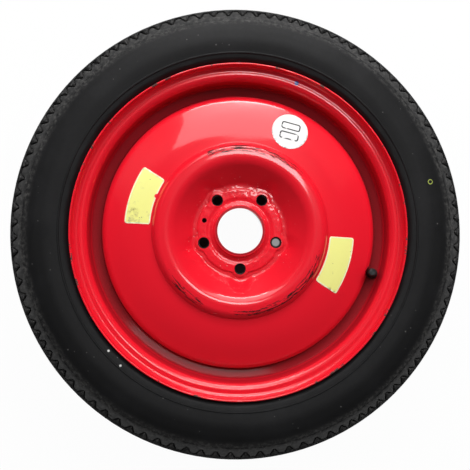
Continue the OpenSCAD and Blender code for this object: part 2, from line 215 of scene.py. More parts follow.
def bent(path, shift, step=5.0):
    """Points of a bent line moved sideways by shift; each corner is (radius, height, bend) in mm."""
    places = [Vector(c[:2]) for c in path]
    points = []
    for i, (corner, p) in enumerate(zip(path, places)):
        a = (p - places[i - 1] if i else places[1] - p).normalized()
        b = (places[i + 1] - p if i < len(path) - 1 else a).normalized()
        left = Vector((-a.y, a.x))
        if i in (0, len(path) - 1) or corner[2] == 0:
            points.append(p + left * shift)
            continue
        t = math.degrees(math.atan2(a.x * b.y - a.y * b.x, a.dot(b)))
        s = math.copysign(1, t)
        r = corner[2]
        centre = p - a * (r * math.tan(math.radians(abs(t) / 2))) + left * (s * r)
        count = max(2, math.ceil(max(abs(t) / step, r * abs(t) / 300)))
        first = math.atan2(a.y, a.x)
        for k in range(count + 1):
            h = first + math.radians(t) * k / count
            points.append(centre - Vector((-math.sin(h), math.cos(h))) * (s * (r - s * shift)))
    return points


def divided(points, longest):
    """The same line with no stretch longer than longest."""
    out = [points[0]]
    for a, b in zip(points, points[1:]):
        n = max(1, math.ceil((b - a).length / longest))
        out += [a.lerp(b, k / n) for k in range(1, n + 1)]
    return out


def spun(name, points, steps, closed=True, angle=math.tau):
    """A profile drawn by extruding one vertex from point to point, then spun round the axis; points are in mm."""
    places = [Vector((p[0] * MM, 0, p[1] * MM)) for p in points]
    bpy.ops.mesh.primitive_plane_add(size=MM, location=(0, 0, 0))
    obj = bpy.context.object
    obj.name = name
    obj.data.name = name

    def draw():
        bpy.ops.mesh.merge(type="CENTER")
        bpy.ops.transform.translate(value=places[0])
        for a, b in zip(places, places[1:]):
            bpy.ops.mesh.extrude_region_move(TRANSFORM_OT_translate={"value": b - a})
        bpy.ops.mesh.select_all(action="SELECT")
        if closed:
            bpy.ops.mesh.edge_face_add()
            bpy.ops.mesh.delete(type="ONLY_FACE")
            bpy.ops.mesh.select_all(action="SELECT")
        bpy.ops.mesh.spin(steps=steps, angle=angle, center=(0, 0, 0), axis=(0, 0, 1))
        bpy.ops.mesh.select_all(action="SELECT")
        if angle < math.tau:
            bpy.ops.mesh.fill_holes(sides=0)
            bpy.ops.mesh.select_all(action="SELECT")
        bpy.ops.mesh.remove_doubles(threshold=2e-6)
        bpy.ops.mesh.normals_make_consistent(inside=False)

    return edit(obj, draw)


def copied(node, name, angle=30):
    """A merged copy of a solid's own mesh, shaded smooth up to an angle."""
    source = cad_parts[node]
    obj = bpy.data.objects.new(name, source.data.copy())
    bpy.context.scene.collection.objects.link(obj)
    edit(obj, lambda: bpy.ops.mesh.remove_doubles(threshold=1e-6))
    return smooth(obj, angle)


def repeat_round(obj, count):
    """Joins to obj the copies of it that stand evenly round the axis."""
    copies = []
    for k in range(1, count):
        again = bpy.data.objects.new(obj.name, obj.data.copy())
        bpy.context.scene.collection.objects.link(again)
        again.data.transform(Matrix.Rotation(k * math.tau / count, 4, "Z"))
        copies.append(again)
    only(obj)
    for again in copies:
        again.select_set(True)
    bpy.ops.object.join()
    return obj


# Node building


def feed(tree, socket, value):
    """Links a socket to the input, or sets the input's value."""
    if isinstance(value, bpy.types.NodeSocket):
        tree.links.new(value, socket)
    elif hasattr(value, "__len__") and len(value) == 3 and socket.type == "RGBA":
        socket.default_value = (*value, 1)
    else:
        socket.default_value = value


def node(tree, kind, inputs=None, **settings):
    n = tree.nodes.new(kind)
    for key, value in settings.items():
        setattr(n, key, value)
    for key, value in (inputs or {}).items():
        feed(tree, n.inputs[key], value)
    return n


def calc(tree, operation, *values):
    n = node(tree, "ShaderNodeMath", operation=operation)
    for i, value in enumerate(values):
        feed(tree, n.inputs[i], value)
    return n.outputs[0]


def product(tree, a, b):
    return calc(tree, "MULTIPLY", a, b)


def total(tree, a, b):
    return calc(tree, "ADD", a, b)


def inverse(tree, mask):
    return calc(tree, "SUBTRACT", 1.0, mask)


def highest(tree, first, *others):
    """The largest of the values."""
    for other in others:
        first = calc(tree, "MAXIMUM", first, other)
    return first


def reach(tree, x, y):
    """Length of the way x along and y across."""
    return calc(tree, "SQRT", total(tree, product(tree, x, x), product(tree, y, y)))


def blend(tree, factor, a, b):
    """Colour a, turning to b as factor goes from 0 to 1."""
    n = node(tree, "ShaderNodeMix", data_type="RGBA", blend_type="MIX")
    for i, value in ((0, factor), (6, a), (7, b)):
        feed(tree, n.inputs[i], value)
    return n.outputs[2]


def step_up(tree, value, low, high):
    """0 below low, 1 above high, smooth between."""
    inputs = {"Value": value, "From Min": low, "From Max": high}
    return node(tree, "ShaderNodeMapRange", inputs, interpolation_type="SMOOTHSTEP").outputs[0]


def noise(tree, place, scale, detail=3.0, rough=0.5):
    inputs = {"Vector": place, "Scale": scale, "Detail": detail, "Roughness": rough}
    return node(tree, "ShaderNodeTexNoise", inputs).outputs["Fac"]


def object_place(tree):
    return node(tree, "ShaderNodeTexCoord").outputs["Object"]


def new_group(name, takes, gives):
    group = bpy.data.node_groups.new(name, "ShaderNodeTree")
    for label, kind, default in takes:
        socket = group.interface.new_socket(name=label, in_out="INPUT", socket_type=kind)
        if default is not None:
            socket.default_value = default
    for label, kind in gives:
        group.interface.new_socket(name=label, in_out="OUTPUT", socket_type=kind)
    return group, node(group, "NodeGroupInput").outputs, node(group, "NodeGroupOutput").inputs


def use(tree, group, **values):
    n = node(tree, "ShaderNodeGroup", node_tree=bpy.data.node_groups[group])
    for key, value in values.items():
        feed(tree, n.inputs[key.replace("_", " ")], value)
    return n.outputs


FLOAT, VECTOR = "NodeSocketFloat", "NodeSocketVector"


def make_groups():
    """Patterns that several finishes share; their radii, heights and widths are in millimetres."""
    mask = [("Mask", FLOAT)]
    gives = [("Radius", FLOAT), ("Angle", FLOAT), ("Height", FLOAT), ("Along", VECTOR)]
    g, i, o = new_group("Wheel Place", [], gives)
    xyz = node(g, "ShaderNodeSeparateXYZ", {"Vector": object_place(g)}).outputs
    r = reach(g, xyz[0], xyz[1])
    turn = calc(g, "ARCTAN2", xyz[1], xyz[0])
    r_mm = product(g, r, 1000.0)
    feed(g, o["Radius"], r_mm)
    feed(g, o["Angle"], product(g, turn, math.degrees(1)))
    feed(g, o["Height"], product(g, xyz[2], 1000.0))
    along = node(g, "ShaderNodeCombineXYZ", {"X": r_mm, "Y": product(g, turn, 12.0), "Z": xyz[2]})
    feed(g, o["Along"], along.outputs[0])

    takes = [("Value", FLOAT, 0), ("Middle", FLOAT, 0), ("Half Width", FLOAT, 1), ("Softness", FLOAT, 1)]
    g, i, o = new_group("Band", takes, mask)
    off = calc(g, "ABSOLUTE", calc(g, "SUBTRACT", i["Value"], i["Middle"]))
    edge = calc(g, "DIVIDE", calc(g, "SUBTRACT", off, i["Half Width"]), i["Softness"])
    feed(g, o["Mask"], inverse(g, step_up(g, edge, 0.0, 1.0)))

    g, i, o = new_group("Specks", [("Scale", FLOAT, 400), ("Size", FLOAT, 0.2), ("Share", FLOAT, 0.5)], mask)
    cells = node(g, "ShaderNodeTexVoronoi", {"Vector": object_place(g), "Scale": i["Scale"]})
    lot = node(g, "ShaderNodeSeparateColor", {"Color": cells.outputs["Color"]}).outputs
    size = product(g, i["Size"], total(g, 0.3, lot[1]))
    near = inverse(g, step_up(g, calc(g, "DIVIDE", cells.outputs["Distance"], size), 0.6, 1.0))
    feed(g, o["Mask"], product(g, near, calc(g, "LESS_THAN", lot[0], i["Share"])))

    takes = [("Scale", FLOAT, 20), ("Share", FLOAT, 0.4), ("Softness", FLOAT, 0.1), ("Roughness", FLOAT, 0.6)]
    g, i, o = new_group("Patches", takes, mask)
    cloud = noise(g, object_place(g), i["Scale"], 6.0, i["Roughness"])
    low = calc(g, "SUBTRACT", 0.72, product(g, i["Share"], 0.5))
    level = calc(g, "DIVIDE", calc(g, "SUBTRACT", cloud, low), i["Softness"])
    feed(g, o["Mask"], step_up(g, level, 0.0, 1.0))

    takes = [("Centre", VECTOR, None), ("Radius", FLOAT, 2), ("Softness", FLOAT, 0.5)]
    g, i, o = new_group("Spot", takes, mask)
    gap = node(g, "ShaderNodeVectorMath", {0: object_place(g), 1: i["Centre"]}, operation="DISTANCE").outputs["Value"]
    past = calc(g, "DIVIDE", calc(g, "SUBTRACT", product(g, gap, 1000.0), i["Radius"]), i["Softness"])
    feed(g, o["Mask"], inverse(g, step_up(g, past, 0.0, 1.0)))


# Middles of single marks, in metres
BLUE_SPOT, GREEN_RING = (0.0819, 0.2106, 0.0535), (0.2668, 0.0665, 0.0685)
LABEL_STAIN, LABEL_CHIP = (-0.1497, 0.0264, 0.0493), (-0.1174, 0.0487, 0.0539)
GREY_FLOOR_SPOT = (0.0667, -0.0154, 0.0)
ROUND_LABEL_PLACE = (0.0726, 0.1426)


def new_finish(name):
    """A material with an empty node tree."""
    material = bpy.data.materials.new(name)
    material.use_nodes = True
    tree = material.node_tree
    tree.nodes.clear()
    return material, tree


def surface(tree, colour, roughness, height=None, bump=0.2, distance=0.0002, **values):
    """A Principled surface with an optional bump, linked to the output."""
    inputs = {"Base Color": colour, "Roughness": roughness}
    inputs.update({key.replace("_", " "): value for key, value in values.items()})
    if height is not None:
        relief = {"Height": height, "Strength": bump, "Distance": distance}
        inputs["Normal"] = node(tree, "ShaderNodeBump", relief).outputs[0]
    shader = node(tree, "ShaderNodeBsdfPrincipled", inputs)
    node(tree, "ShaderNodeOutputMaterial", {"Surface": shader.outputs[0]})
    return shader


def wheel_paint():
    """Glossy red paint with dust, scuffs on the crest, chips on the lip, painted shade in the well gap and the bolt
    seats, and a darker ring at the collar.
    """
    material, tree = new_finish("Red Wheel Paint")
    look = bpy.context.scene.wheel_paint
    red = tuple(look.paint)
    place = use(tree, "Wheel Place")
    r, height = place["Radius"], place["Height"]
    here = object_place(tree)
    tone = noise(tree, here, 9.0, 2.0)
    colour = blend(tree, product(tree, tone, 0.22), red, tuple(c * 0.72 for c in red))
    hub = inverse(tree, step_up(tree, r, 68.0, 92.0))
    floor = use(tree, "Band", Value=r, Middle=65.0, Half_Width=1.5, Softness=3.5)["Mask"]
    film = product(tree, noise(tree, here, 60.0, 5.0, 0.7), product(tree, floor, 0.3))
    colour = blend(tree, film, colour, (0.25, 0.06, 0.055))
    fine = use(tree, "Specks", Scale=420.0, Size=0.26, Share=0.07)["Mask"]
    coarse = use(tree, "Specks", Scale=150.0, Size=0.14, Share=0.07)["Mask"]
    dust = product(tree, calc(tree, "MAXIMUM", fine, coarse), product(tree, hub, look.dust))
    colour = blend(tree, dust, colour, (0.75, 0.6, 0.58))
    crest = use(tree, "Band", Value=r, Middle=115.0, Half_Width=3.4, Softness=2.4)["Mask"]
    upper = step_up(tree, height, 50.0, 58.0)
    scrape = noise(tree, place["Along"], 0.5, 9.0, 0.74)
    stretch = step_up(tree, noise(tree, here, 11.0, 1.0), 0.46, 0.56)
    worn = total(tree, product(tree, scrape, 0.82), product(tree, stretch, 0.12))
    scuff = product(tree, product(tree, crest, upper), step_up(tree, worn, 0.52, 0.57))
    colour = blend(tree, scuff, colour, (0.02, 0.008, 0.008))
    # Painted shade: the well between the disc's skirt and the rim is darkened below the bead seats.
    well_shade = use(tree, "Band", Value=r, Middle=207.0, Half_Width=6.0, Softness=4.0)["Mask"]
    well_shade = product(tree, well_shade, inverse(tree, step_up(tree, height, 45.0, 51.0)))
    colour = blend(tree, product(tree, well_shade, 0.65), colour, (0.035, 0.003, 0.005))
    lip = product(tree, step_up(tree, calc(tree, "ABSOLUTE", height), 63.2, 65.0), step_up(tree, r, 229.0, 232.0))
    chips = product(tree, lip, use(tree, "Patches", Scale=70.0, Share=0.3, Softness=0.03, Roughness=0.7)["Mask"])
    colour = blend(tree, chips, colour, (0.09, 0.05, 0.045))
    # Painted shade: the cone seats of the bolt holes are coloured near black.
    fold = calc(tree, "WRAP", total(tree, place["Angle"], 90.0), 36.0, -36.0)
    fold = product(tree, fold, math.radians(1))
    side = product(tree, r, calc(tree, "SINE", fold))
    ahead = calc(tree, "SUBTRACT", product(tree, r, calc(tree, "COSINE", fold)), BOLT_CIRCLE_R)
    off = reach(tree, side, ahead)
    seat_shade = inverse(tree, step_up(tree, off, 8.0, 8.5))
    colour = blend(tree, seat_shade, colour, (0.012, 0.01, 0.01))
    blue = use(tree, "Spot", Centre=BLUE_SPOT, Radius=2.6, Softness=0.8)["Mask"]
    colour = blend(tree, blue, colour, (0.01, 0.06, 0.35))
    # A darker ring round the collar's lip.
    collar = use(tree, "Band", Value=r, Middle=34.2, Half_Width=0.9, Softness=1.2)["Mask"]
    colour = blend(tree, product(tree, collar, 0.6), colour, (0.09, 0.003, 0.006))
    marks = highest(tree, dust, scuff, chips, seat_shade, well_shade)
    roughness = total(tree, product(tree, marks, 0.4), total(tree, 0.26, product(tree, noise(tree, here, 35.0), 0.12)))
    peel = total(tree, noise(tree, here, 420.0, 1.0), product(tree, noise(tree, here, 60.0, 2.0), 1.4))
    relief = calc(tree, "SUBTRACT", peel, product(tree, marks, 1.2))
    beads = step_up(tree, noise(tree, here, 95.0, 2.0, 0.5), 0.54, 0.66)
    beads = product(tree, beads, step_up(tree, noise(tree, here, 30.0, 1.0), 0.5, 0.58))
    beads = product(tree, beads, product(tree, hub, 6.0))
    relief = total(tree, relief, beads)
    lacquer = calc(tree, "SUBTRACT", 0.9, product(tree, marks, 0.8))
    gloss = {"Coat_Weight": lacquer, "Coat_Roughness": 0.07, "Specular_IOR_Level": 0.2}
    surface(tree, colour, roughness, relief, bump=0.12, distance=0.0003, **gloss)
    return material


def tyre_rubber():
    """Black sidewall rubber with fine moulded rings, grey bloom, and dust with painted sheen at the shoulder."""
    material, tree = new_finish("Tyre Rubber")
    base = tuple(bpy.context.scene.wheel_paint.rubber)
    r = use(tree, "Wheel Place")["Radius"]
    here = object_place(tree)
    bloom = use(tree, "Patches", Scale=14.0, Share=0.55, Softness=0.3, Roughness=0.6)["Mask"]
    colour = blend(tree, product(tree, bloom, 0.6), base, tuple(c * 2.0 for c in base))
    # Dust and painted sheen: a lighter grey band round the shoulder.
    shoulder = use(tree, "Band", Value=r, Middle=304.0, Half_Width=8.0, Softness=9.0)["Mask"]
    grit = noise(tree, here, 190.0, 6.0, 0.72)
    dust_and_sheen = product(tree, shoulder, step_up(tree, grit, 0.4, 0.75))
    colour = blend(tree, product(tree, dust_and_sheen, 0.55), colour, (0.13, 0.125, 0.12))
    crumbs = use(tree, "Specks", Scale=120.0, Size=0.12, Share=0.25)["Mask"]
    colour = blend(tree, product(tree, crumbs, 0.5), colour, (0.16, 0.155, 0.15))
    whole = use(tree, "Spot", Centre=GREEN_RING, Radius=3.4, Softness=0.5)["Mask"]
    middle = use(tree, "Spot", Centre=GREEN_RING, Radius=2.2, Softness=0.4)["Mask"]
    ring = calc(tree, "SUBTRACT", whole, middle)
    colour = blend(tree, product(tree, ring, 0.8), colour, (0.35, 0.42, 0.08))
    for angle, radius in ((-138, 243), (-132, 246), (-134.5, 240)):
        centre = (*polar(radius * MM, angle), 0.0632)
        speck = use(tree, "Spot", Centre=centre, Radius=1.0, Softness=1.2)["Mask"]
        colour = blend(tree, speck, colour, (0.6, 0.6, 0.58))
    rings = calc(tree, "SINE", product(tree, r, math.tau / 1.6))
    wall = use(tree, "Band", Value=r, Middle=290.0, Half_Width=4.0, Softness=2.0)["Mask"]
    relief = total(tree, product(tree, product(tree, rings, wall), 0.12), product(tree, grit, 0.5))
    relief = total(tree, relief, product(tree, noise(tree, here, 900.0, 2.0), 0.35))
    roughness = total(tree, 0.5, product(tree, grit, 0.25))
    surface(tree, colour, roughness, relief, bump=0.35, distance=0.0004, Specular_IOR_Level=0.28)
    return material


def soft_rubber():
    """Matte black rubber of the valve and its seals."""
    material, tree = new_finish("Valve Rubber")
    here = object_place(tree)
    wear = noise(tree, here, 260.0, 4.0, 0.6)
    colour = blend(tree, product(tree, wear, 0.6), (0.012, 0.012, 0.012), (0.035, 0.034, 0.033))
    surface(tree, colour, total(tree, 0.5, product(tree, wear, 0.2)), wear, bump=0.25)
    return material


def cap_plastic():
    """Black moulded plastic with a faint mould texture and lighter rubbed spots."""
    material, tree = new_finish("Cap Plastic")
    here = object_place(tree)
    grain = noise(tree, here, 1400.0, 2.0)
    rubbed = use(tree, "Patches", Scale=180.0, Share=0.4, Softness=0.2, Roughness=0.6)["Mask"]
    colour = blend(tree, product(tree, rubbed, 0.6), (0.015, 0.015, 0.016), (0.06, 0.06, 0.062))
    surface(tree, colour, total(tree, 0.34, product(tree, rubbed, 0.2)), grain, bump=0.15)
    return material


def turned_metal(name, bright, dull, base_roughness):
    """Turned metal with fine rings and patchy tarnish."""
    material, tree = new_finish(name)
    here = object_place(tree)
    tarnish = noise(tree, here, 240.0, 4.0, 0.6)
    colour = blend(tree, tarnish, bright, dull)
    rings = node(tree, "ShaderNodeMapping", {"Vector": here, "Scale": (200.0, 200.0, 9000.0)}).outputs[0]
    lathe = noise(tree, rings, 1.0, 1.0)
    surface(tree, colour, total(tree, base_roughness, product(tree, tarnish, 0.2)), lathe, bump=0.1, Metallic=1.0)
    return material


def white_plastic():
    """Off-white plastic of the core's gasket."""
    material, tree = new_finish("Gasket Plastic")
    here = object_place(tree)
    stain = noise(tree, here, 500.0, 3.0)
    surface(tree, blend(tree, stain, (0.82, 0.82, 0.78), (0.7, 0.69, 0.62)), 0.4, stain, bump=0.1)
    return material


# The yellow labels' two radii in millimetres and half their arc in degrees
LABEL_IN_R, LABEL_OUT_R, LABEL_HALF = 127.0, 163.5, 15.0


def label_film(name, middle, soiled):
    """Satin yellow film with a paler border, soft smudges and a crinkled surface."""
    material, tree = new_finish(name)
    base = tuple(bpy.context.scene.wheel_paint.label)
    place = use(tree, "Wheel Place")
    here = object_place(tree)
    turn = calc(tree, "SUBTRACT", place["Angle"], middle)
    turn = calc(tree, "ABSOLUTE", calc(tree, "WRAP", turn, 180.0, -180.0))
    arc = product(tree, calc(tree, "SUBTRACT", LABEL_HALF, turn), product(tree, place["Radius"], math.radians(1)))
    from_in = calc(tree, "SUBTRACT", place["Radius"], LABEL_IN_R)
    from_out = calc(tree, "SUBTRACT", LABEL_OUT_R, place["Radius"])
    inside = calc(tree, "MINIMUM", from_in, from_out)
    inside = calc(tree, "MINIMUM", inside, arc)
    border = inverse(tree, step_up(tree, inside, 1.6, 2.0))
    colour = blend(tree, product(tree, noise(tree, here, 30.0, 4.0), 0.3), base, (0.85, 0.83, 0.36))
    colour = blend(tree, product(tree, border, 0.8), colour, (0.93, 0.93, 0.7))
    smudge = use(tree, "Patches", Scale=36.0, Share=soiled, Softness=0.16, Roughness=0.68)["Mask"]
    colour = blend(tree, product(tree, smudge, 0.6), colour, (0.3, 0.28, 0.16))
    stain = use(tree, "Spot", Centre=LABEL_STAIN, Radius=4.0, Softness=7.0)["Mask"]
    stain = product(tree, stain, step_up(tree, noise(tree, here, 120.0, 6.0, 0.75), 0.42, 0.7))
    colour = blend(tree, stain, colour, (0.24, 0.2, 0.06))
    chip = use(tree, "Spot", Centre=LABEL_CHIP, Radius=2.6, Softness=0.6)["Mask"]
    colour = blend(tree, chip, colour, tuple(bpy.context.scene.wheel_paint.paint))
    fine = use(tree, "Specks", Scale=260.0, Size=0.2, Share=soiled * 0.6)["Mask"]
    colour = blend(tree, product(tree, fine, 0.6), colour, (0.16, 0.14, 0.1))
    crinkle = noise(tree, here, 45.0, 3.0)
    surface(tree, colour, total(tree, 0.34, product(tree, smudge, 0.3)), crinkle, bump=0.12, distance=0.0006)
    return material


def round_paper():
    """White paper with two plain outlined boxes and faint soiling."""
    material, tree = new_finish("Round Label Paper")
    here = object_place(tree)
    x, y = ROUND_LABEL_PLACE
    local = node(tree, "ShaderNodeMapping", {"Vector": here, "Location": (-x, -y, 0)}).outputs[0]
    turned = {"Vector": local, "Rotation": (0, 0, math.radians(14)), "Scale": (1000, 1000, 1000)}
    local = node(tree, "ShaderNodeMapping", turned).outputs[0]
    xyz = node(tree, "ShaderNodeSeparateXYZ", {"Vector": local}).outputs
    lines = 0.0
    for shift in (-7.5, 7.5):
        dx = calc(tree, "SUBTRACT", calc(tree, "ABSOLUTE", xyz[0]), 10.6)
        dy = calc(tree, "SUBTRACT", calc(tree, "ABSOLUTE", calc(tree, "SUBTRACT", xyz[1], shift)), 2.2)
        dx, dy = calc(tree, "MAXIMUM", dx, 0.0), calc(tree, "MAXIMUM", dy, 0.0)
        far = reach(tree, dx, dy)
        outline = use(tree, "Band", Value=far, Middle=2.6, Half_Width=0.75, Softness=0.35)["Mask"]
        lines = calc(tree, "MAXIMUM", lines, outline)
    colour = blend(tree, product(tree, noise(tree, here, 50.0, 4.0), 0.3), (0.8, 0.8, 0.79), (0.7, 0.69, 0.68))
    worn = step_up(tree, noise(tree, here, 110.0, 2.0), 0.34, 0.42)
    colour = blend(tree, product(tree, lines, worn), colour, (0.01, 0.01, 0.012))
    fibre = noise(tree, here, 700.0, 4.0, 0.7)
    surface(tree, colour, 0.6, fibre, bump=0.1)
    return material


# Pieces of the wheel, in millimetres where no MM stands

FLANGE_R, SEAT_R, WELL_R, SKIRT_R = 235.6, 216.9, 200.9, 199.5
EDGE_R, EDGE_Z, WELL_Z, BEAD_Z = 214.5, 24.8, 19.85, 50.8
SKIRT_END_Z = -8.0
VALVE_TURN, VALVE_TILT = math.radians(-18), math.radians(-20)
VALVE_HOLE_R, VALVE_R, VALVE_Z = 5.65, 208.2, 22.507
VALVE_ROOM_R = 9.5
VALVE_FOOT = (
    Matrix.Rotation(VALVE_TURN, 4, "Z")
    @ Matrix.Translation((VALVE_R * MM, 0, VALVE_Z * MM))
    @ Matrix.Rotation(VALVE_TILT, 4, "Y")
)
# Corners of the sheets' middle lines: radius, height, bend
HALF_RIM = [
    (FLANGE_R - 2.0, BEAD_Z + 13, 0), (FLANGE_R - 1.4, BEAD_Z + 1.4, 8.1), (SEAT_R, BEAD_Z + 1.4, 7.9),
    (SEAT_R - 1.5, EDGE_Z + 9, 14), (SEAT_R - 0.3, EDGE_Z + 4.5, 4), (EDGE_R, EDGE_Z, 5), (WELL_R, WELL_Z, 5),
]
DISC_PATH = [
    (34.55, 41, 0), (34.55, 33.6, 5.5), (60, 33.6, 3), (62, 32, 3), (69.2, 32, 8), (99, 60.5, 20), (117, 60.5, 9),
    (123.5, 52, 3), (157.5, 48.426, 180), (197.5, 35.43, 14), (197.5, SKIRT_END_Z, 0),
]
FACE_Z = 34.0
BOLT_CIRCLE_R = 55.0
BOLTS = [polar(BOLT_CIRCLE_R, a) for a in range(-90, 270, 72)]
BOLT_PROFILE = [(0, 25), (6.6, 25), (6.6, 32.7), (8.3, 35.65), (8.3, 45), (0, 45)]
PIN_HOLE, PIN_HOLE_R = polar(53.6, 163), 3.5
PAD_R, PAD_SLOPE, PAD_RISE = 13.2, 2.6, 1.6
MOAT_IN_R, MOAT_OUT_R, MOAT_DEPTH = 40.5, 48.5, 1.3
LUMP_SIZE, LUMP_HEIGHT, LUMP_SEED = 0.21, 0.21, 7.3
WELD_COUNT, WELD_SPAN, RIPPLE_SPAN = 8, 27, 1.1
WELD_PROFILE = [(0, 0), (1.8, 0), (3.6, 0), (3.4, 1.2), (2.6, 2.4), (1.4, 3.4), (0, 4.0), (0, 2.0)]
STEM_R, THREAD_PITCH, THREAD_DEPTH = 3.85, 0.8, 0.38


class WHEEL_OT_rim(bpy.types.Operator):
    """Spin the rolled rim with its round lips and cut the valve hole"""

    bl_idname = "wheel.rim"
    bl_label = "Rim"

    def execute(self, context):
        half = sizes().rim_sheet / MM / 2
        path = HALF_RIM + [(r, -z, bend) for r, z, bend in reversed(HALF_RIM)]
        outer, inner = bent(path, half), bent(path, -half)
        first, last = Vector(path[0][:2]), Vector(path[-1][:2])

        def nose(centre, heading):
            turns = [heading + math.radians(90 - 22.5 * k) for k in range(1, 8)]
            return [centre + half * Vector((math.cos(t), math.sin(t))) for t in turns]

        down = math.atan2(path[-1][1] - path[-2][1], path[-1][0] - path[-2][0])
        up = math.atan2(path[0][1] - path[1][1], path[0][0] - path[1][0])
        profile = outer + nose(last, down) + inner[::-1] + nose(first, up)
        rim = spun("rolled_rim", profile, sizes().spin_steps)
        bpy.ops.mesh.primitive_cylinder_add(vertices=48, radius=VALVE_HOLE_R * MM, depth=12 * MM)
        cutter = bpy.context.object
        cutter.data.transform(VALVE_FOOT)
        apply_modifier(rim, "BOOLEAN", object=cutter, operation="DIFFERENCE", solver="EXACT")
        bpy.data.objects.remove(cutter)
        finish_piece(smooth(rim, 32), "root", bpy.data.materials["Red Wheel Paint"], "wheel_paint", "rim")
        return {"FINISHED"}


def soft_min(a, b, k):
    """The smaller of a and b, rounded over a span of k."""
    h = np.clip(0.5 + 0.5 * (b - a) / k, 0, 1)
    return b * (1 - h) + a * h - k * h * (1 - h)


def press_disc(p, lobe_r, blend_r):
    """Moves the points of the disc's front to its pressed lobes, bolt pads and valve relief; p is in mm."""
    r = np.hypot(p[:, 0], p[:, 1])
    near = np.min([np.hypot(p[:, 0] - x, p[:, 1] - y) for x, y in BOLTS], axis=0)
    bowl = (r > 60.5) & (r < 104)
    wall = FACE_Z + np.where(near > lobe_r, np.sqrt((near - lobe_r) ** 2 + 9) - 3, 0) / 0.7
    z = p[:, 2].copy()
    z[bowl] = np.maximum(soft_min(z, wall, blend_r), np.minimum(z, 33.9))[bowl]
    ramp = np.clip((PAD_R - near) / PAD_SLOPE, 0, 1)
    pad = FACE_Z + PAD_RISE * ramp * ramp * (3 - 2 * ramp)
    floor = (r > 42) & (r < 76) & (near < 14)
    z[floor] = np.maximum(z, pad)[floor]
    moat = np.clip((r - MOAT_IN_R) / 1.5, 0, 1) * np.clip((MOAT_OUT_R - r) / 2.2, 0, 1)
    z -= MOAT_DEPTH * moat * moat * (3 - 2 * moat)
    spots = [Vector((x * LUMP_SIZE, y * LUMP_SIZE, LUMP_SEED)) for x, y in p[:, :2]]
    lumps = np.array([mathutils.noise.noise(spot) for spot in spots])
    within = np.clip((76 - r) / 6, 0, 1)
    z += lumps * LUMP_HEIGHT * within * np.clip((r - 36) / 4, 0, 1) * np.clip((near - 8) / 2, 0, 1)
    place = np.c_[p[:, :2], z, np.full(len(p), 1 / MM)] * MM @ np.array(VALVE_FOOT.inverted()).T
    off = np.hypot(place[:, 0], place[:, 1]) / MM
    beside = (off < VALVE_ROOM_R) & (r > 180) & (place[:, 2] > -2 * MM)
    place[:, :2] *= np.where(beside, VALVE_ROOM_R / np.maximum(off, 0.1), 1)[:, None]
    return (place @ np.array(VALVE_FOOT).T)[:, :3] / MM


class WHEEL_OT_disc(bpy.types.Operator):
    """Spin the disc's face, press its lobes, thicken it and cut its holes"""

    bl_idname = "wheel.disc"
    bl_label = "Disc"

    def execute(self, context):
        own = sizes()
        face = divided(bent(DISC_PATH, own.disc_sheet / MM / 2, 6), 2.0)
        disc = spun("pressed_disc", face, own.spin_steps, closed=False)
        put_points(disc, press_disc(points_of(disc) / MM, own.lobe_radius / MM, own.lobe_blend / MM) * MM)
        up = sum(f.normal.z for f in disc.data.polygons)
        if up < 0:
            edit(disc, bpy.ops.mesh.flip_normals)
        even = {"use_even_offset": True, "use_quality_normals": True}
        apply_modifier(disc, "SOLIDIFY", thickness=own.disc_sheet, offset=-1, **even)
        cutters = []
        for x, y in BOLTS:
            hole = spun("bolt_cutter", BOLT_PROFILE, 64)
            hole.data.transform(Matrix.Translation((x * MM, y * MM, 0)))
            cutters.append(hole)
        bpy.ops.mesh.primitive_cylinder_add(vertices=48, radius=PIN_HOLE_R * MM, depth=20 * MM)
        pin = bpy.context.object
        pin.data.transform(Matrix.Translation((PIN_HOLE[0] * MM, PIN_HOLE[1] * MM, FACE_Z * MM)))
        cutters.append(pin)
        for cutter in cutters:
            apply_modifier(disc, "BOOLEAN", object=cutter, operation="DIFFERENCE", solver="EXACT")
            bpy.data.objects.remove(cutter)
        finish_piece(smooth(disc, 38), "root", bpy.data.materials["Red Wheel Paint"], "wheel_paint", "disc")
        return {"FINISHED"}


class WHEEL_OT_welds(bpy.types.Operator):
    """Spin one rippled weld bead at the end of the disc's skirt and repeat it round the wheel"""

    bl_idname = "wheel.welds"
    bl_label = "Weld Beads"

    def execute(self, context):
        corner = np.array([SKIRT_R, SKIRT_END_Z])
        profile = [corner + (-q[0], -q[1]) for q in WELD_PROFILE]
        bead = spun("weld_ripples", profile, 72, angle=math.radians(WELD_SPAN))
        p = points_of(bead) / MM
        r, turn = np.hypot(p[:, 0], p[:, 1]), np.degrees(np.arctan2(p[:, 1], p[:, 0]))
        to_end = np.clip(np.minimum(turn, WELD_SPAN - turn) / 1.2, 0, 1)
        ripple = np.abs(np.sin(np.radians(turn * 180 / RIPPLE_SPAN)))
        swell = 0.6 + 0.4 * np.sqrt(to_end * (2 - to_end)) - 0.07 * ripple
        r = corner[0] + (r - corner[0]) * swell
        z = corner[1] + (p[:, 2] - corner[1]) * swell
        put_points(bead, np.c_[r * np.cos(np.radians(turn)), r * np.sin(np.radians(turn)), z] * MM)
        repeat_round(bead, WELD_COUNT)
        finish_piece(smooth(bead, 50), "root", bpy.data.materials["Red Wheel Paint"], "weld_paint", "weld_beads")
        return {"FINISHED"}


class WHEEL_OT_tyre(bpy.types.Operator):
    """Dress the tyre with a smooth copy of its solid"""

    bl_idname = "wheel.tyre"
    bl_label = "Tyre"

    def execute(self, context):
        tyre = copied("tyre", "tyre_casing", 28)
        finish_piece(tyre, "root", bpy.data.materials["Tyre Rubber"], "tyre_rubber", "tyre")
        return {"FINISHED"}


